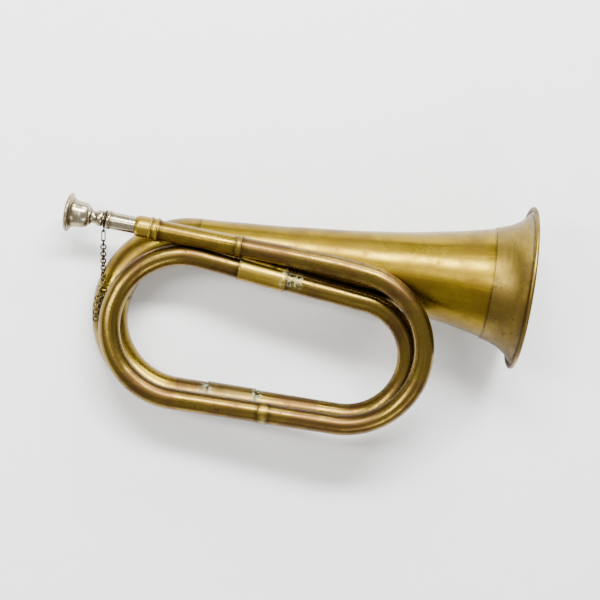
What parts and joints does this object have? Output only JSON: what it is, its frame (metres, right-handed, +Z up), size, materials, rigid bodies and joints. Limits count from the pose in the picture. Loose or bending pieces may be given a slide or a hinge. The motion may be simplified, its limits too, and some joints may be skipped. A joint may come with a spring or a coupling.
{
  "type": "bugle",
  "caption": "Twice-wound brass bugle with a flared bell, soldered sleeves and a removable mouthpiece held by a small chain, lying on its side.",
  "frame": {"origin": "centre of the lying bugle's bounding box, on the surface it lies on", "axes": "+Z up, +X along the bell towards its mouth, the coil hanging towards -Y; the bell's axis rises 8.75 degrees towards the mouth because the bell rim and the rear bow rest on the floor"},
  "size_m": [0.3314, 0.1776, 0.1133],
  "materials": {
    "mouthpiece_nickel": "worn silver-coloured plate over brass",
    "sleeve_brass": "brighter satin brass",
    "tube_brass": "aged olive-brown satin brass",
    "fitting_brass": "aged satin brass",
    "lower_sleeve_brass": "aged satin brass with pale green deposits at both ends",
    "bell_brass": "yellow satin brass",
    "garland_brass": "browner satin brass",
    "rim_iron": "iron wire, hidden in the rolled rim",
    "chain_metal": "dark tarnished wire"
  },
  "bodies": {
    "horn": {"receiver": "sleeve_brass", "receiver_beads": "sleeve_brass", "mouthpipe": "tube_brass", "mouthpipe_ferrule": "fitting_brass", "lead_run": "tube_brass", "lead_sweep": "tube_brass", "outer_bow": "tube_brass", "front_lower_run": "tube_brass", "lap_ferrule": "fitting_brass", "front_bow": "tube_brass", "front_upper_run": "tube_brass", "upper_sleeve": "sleeve_brass", "upper_sleeve_bands": "sleeve_brass", "inner_bow": "tube_brass", "rear_lower_run": "tube_brass", "lower_sleeve": "lower_sleeve_brass", "rear_bow": "tube_brass", "bell": "bell_brass", "garland": "garland_brass", "rim_bead": "garland_brass", "rim_wire": "rim_iron", "bell_stay": "fitting_brass", "lead_stay": "fitting_brass", "coil_stays": "fitting_brass", "chain_staple": "fitting_brass"},
    "mouthpiece": {"mouthpiece": "mouthpiece_nickel"},
    "neck_ring": {"neck_ring": "chain_metal"},
    "chain": {"wire_link": "chain_metal", "first_ring": "chain_metal", "chain": "chain_metal"},
    "chain_tail": {"chain_tail": "chain_metal"}
  },
  "joints": [
    {"name": "mouthpiece_pull", "type": "slide", "parent": "horn", "child": "mouthpiece", "axis": [-0.9777, 0.051, -0.2039], "range_m": [0, 0.03]},
    {"name": "ring_swivel", "type": "hinge", "parent": "mouthpiece", "child": "neck_ring", "pos_m": [-0.13656, 0.03441, 0.03413], "axis": [-0.9777, 0.051, -0.2039], "range_deg": [0, 60]},
    {"name": "chain_swing", "type": "hinge", "parent": "neck_ring", "child": "chain", "pos_m": [-0.13665, 0.02568, 0.03237], "axis": [0.2099, 0.1913, -0.9588], "range_deg": [0, 35]},
    {"name": "tail_swing", "type": "hinge", "parent": "horn", "child": "chain_tail", "pos_m": [-0.13188, -0.01357, 0.02599], "axis": [-0.8004, 0.1525, -0.5797], "range_deg": [0, 30]}
  ]
}
